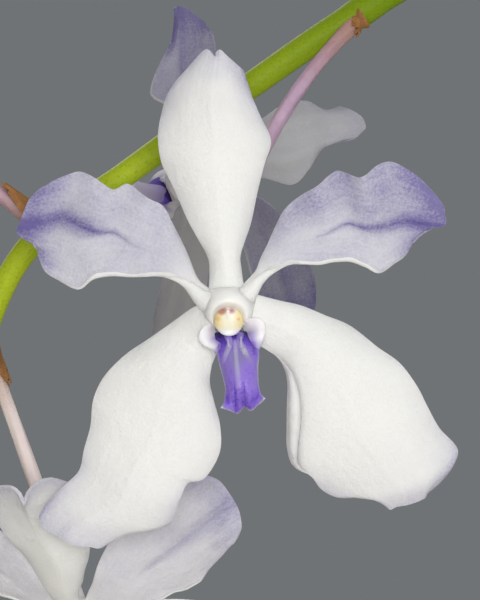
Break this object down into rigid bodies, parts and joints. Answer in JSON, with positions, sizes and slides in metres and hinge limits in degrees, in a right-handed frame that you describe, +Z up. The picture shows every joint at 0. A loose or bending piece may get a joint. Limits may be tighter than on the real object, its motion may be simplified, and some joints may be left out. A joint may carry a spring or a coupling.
{
  "type": "potted orchid",
  "caption": "Vanda orchid in a plain clay pot: upright stem with two rows of strap leaves, aerial roots, and an arching spike of white blooms with lilac petals and violet lips.",
  "frame": {"origin": "centre of the underside of the pot, on the surface that it stands on", "axes": "+Z up along the pot's and the stem's axis; +Y away from a viewer who looks at the front bloom's face; +X to that viewer's right, so the flower spike arches towards -X"},
  "size_m": [0.3171, 0.1571, 0.47],
  "materials": {
    "clay": "matte fired clay",
    "bark": "rough bark",
    "old_stem": "dry matte",
    "leaf": "satin, leathery",
    "root": "matte, silvery",
    "spike": "satin",
    "petal": "soft, finely granular",
    "lip": "soft satin",
    "anther_cap": "waxy",
    "bud": "satin"
  },
  "bodies": {
    "root": {"pot": "clay", "bark_chips": "bark", "stem": "old_stem", "leaf_01": "leaf", "leaf_02": "leaf", "leaf_03": "leaf", "leaf_04": "leaf", "leaf_05": "leaf", "leaf_06": "leaf", "leaf_07": "leaf", "leaf_08": "leaf", "leaf_09": "leaf", "leaf_10": "leaf", "leaf_11": "leaf", "leaf_12": "leaf", "root_1": "root", "root_2": "root", "root_3": "root", "root_4": "root", "root_5": "root", "root_6": "root", "root_7": "root", "flower_spike": "spike", "bloom_1": "petal", "bloom_1_lip": "lip", "bloom_1_anther_cap": "anther_cap", "bloom_2": "petal", "bloom_2_lip": "lip", "bloom_2_anther_cap": "anther_cap", "bloom_3": "petal", "bloom_3_lip": "lip", "bloom_3_anther_cap": "anther_cap", "bloom_4": "petal", "bloom_4_lip": "lip", "bloom_4_anther_cap": "anther_cap", "bloom_5": "petal", "bloom_5_lip": "lip", "bloom_5_anther_cap": "anther_cap", "bloom_6": "petal", "bloom_6_lip": "lip", "bloom_6_anther_cap": "anther_cap", "bloom_7": "petal", "bloom_7_lip": "lip", "bloom_7_anther_cap": "anther_cap", "bloom_8": "petal", "bloom_8_lip": "lip", "bloom_8_anther_cap": "anther_cap", "bud_1": "bud", "bud_2": "bud", "bud_3": "bud", "bud_4": "bud"}
  },
  "joints": []
}
